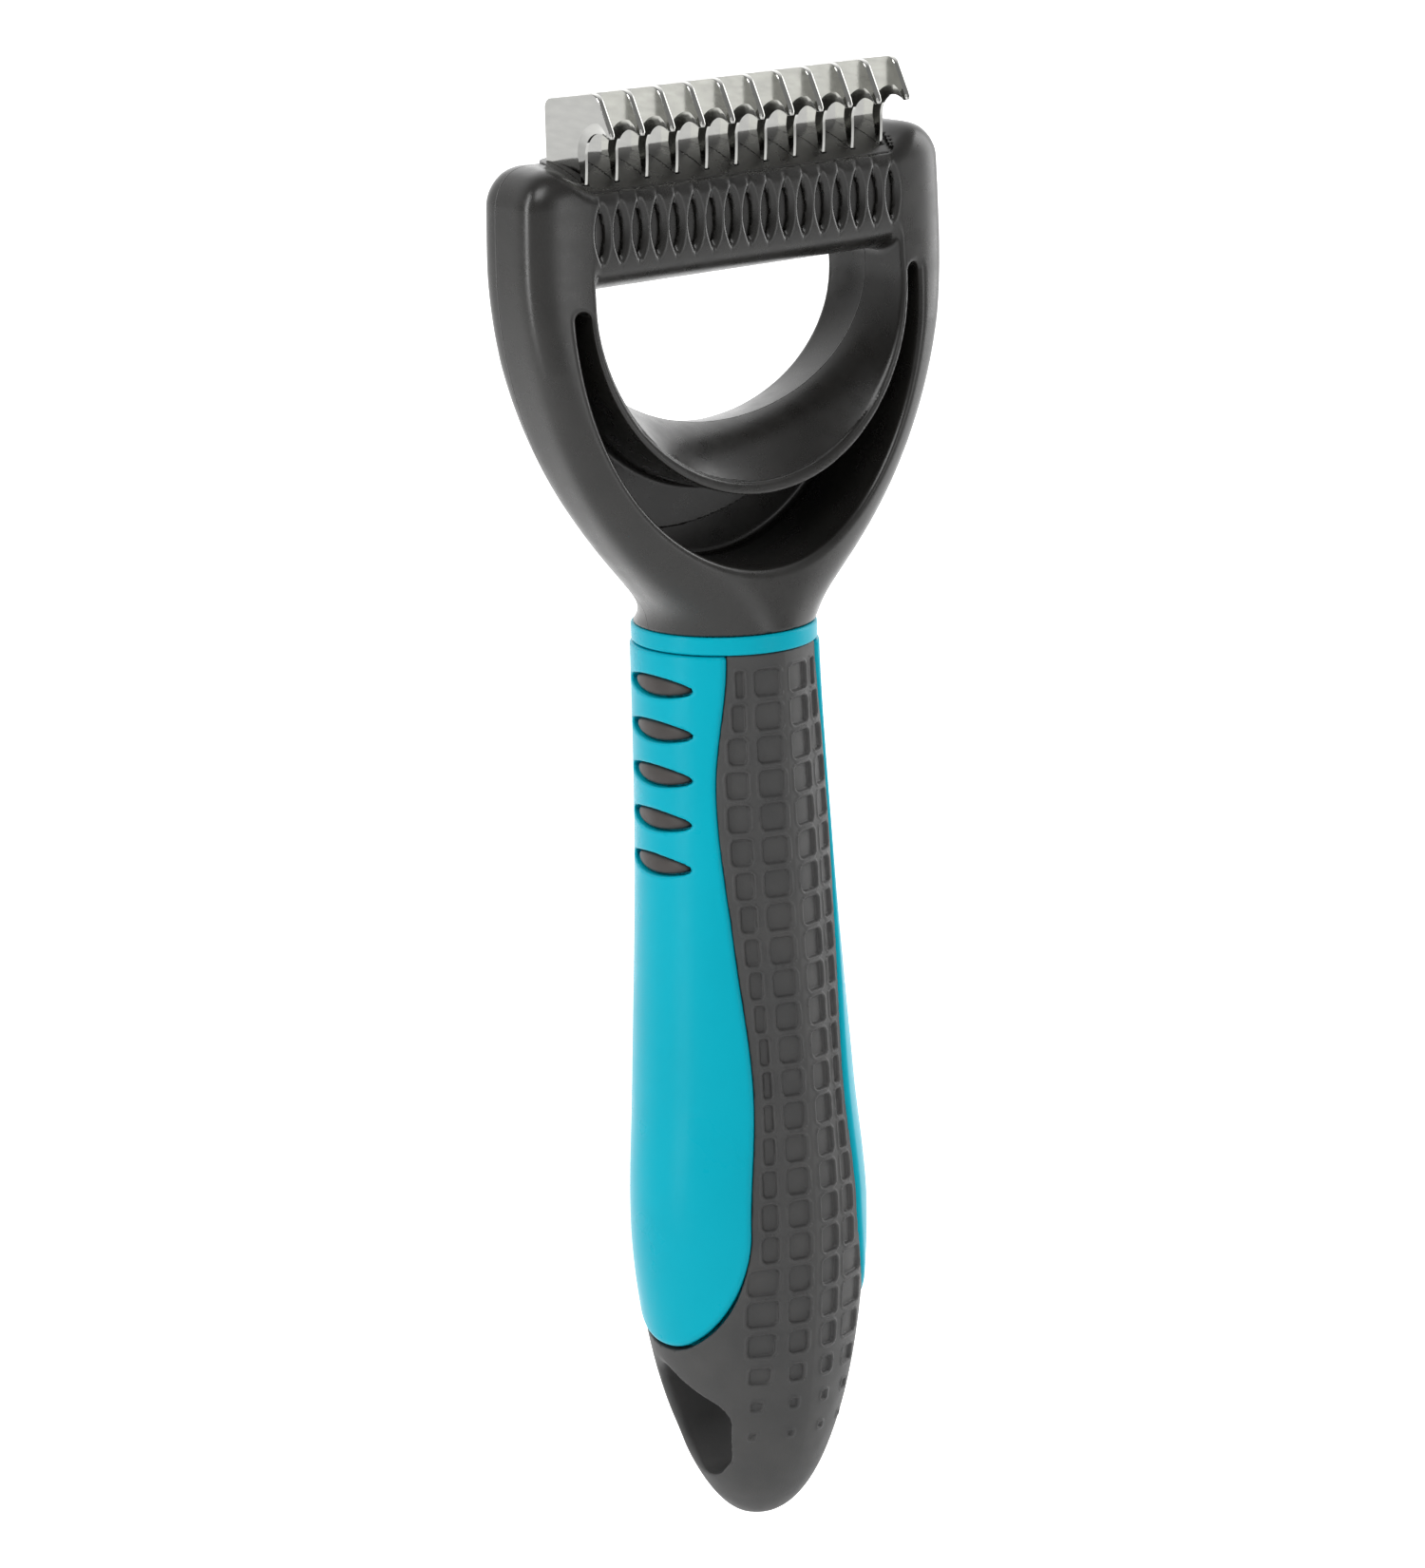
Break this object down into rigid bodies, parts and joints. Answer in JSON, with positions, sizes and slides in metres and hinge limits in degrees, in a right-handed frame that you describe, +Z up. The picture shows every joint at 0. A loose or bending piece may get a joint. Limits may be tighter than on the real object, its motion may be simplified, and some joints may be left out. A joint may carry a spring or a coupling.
{
  "type": "undercoat rake",
  "caption": "Pet undercoat rake: a row of hooked steel blades in a D-shaped head on a two-material hand grip with a hang hole.",
  "frame": {"origin": "on the handle's long axis, in the middle of the hand's hold, 60 mm below the head's seat", "axes": "+Z up the handle towards the blades, X along the blade row, -Y towards the hooked side"},
  "size_m": [0.066, 0.0282, 0.1895],
  "materials": {
    "charcoal_plastic": "satin moulded",
    "polished_steel": "polished, ground edges",
    "rod_steel": "drawn",
    "turquoise_plastic": "satin gloss",
    "black_rubber": "matte soft touch",
    "rib_rubber": "matte soft touch"
  },
  "bodies": {
    "root": {"head_frame": "charcoal_plastic", "blade_carrier": "charcoal_plastic", "blade_01": "polished_steel", "blade_02": "polished_steel", "blade_03": "polished_steel", "blade_04": "polished_steel", "blade_05": "polished_steel", "blade_06": "polished_steel", "blade_07": "polished_steel", "blade_08": "polished_steel", "blade_09": "polished_steel", "blade_10": "polished_steel", "blade_11": "polished_steel", "blade_rod": "rod_steel", "handle_core": "turquoise_plastic", "collar_ring": "turquoise_plastic", "grip_overmould": "black_rubber", "rib_left_1": "rib_rubber", "rib_left_2": "rib_rubber", "rib_left_3": "rib_rubber", "rib_left_4": "rib_rubber", "rib_left_5": "rib_rubber", "rib_right_1": "rib_rubber", "rib_right_2": "rib_rubber", "rib_right_3": "rib_rubber", "rib_right_4": "rib_rubber", "rib_right_5": "rib_rubber"}
  },
  "joints": []
}
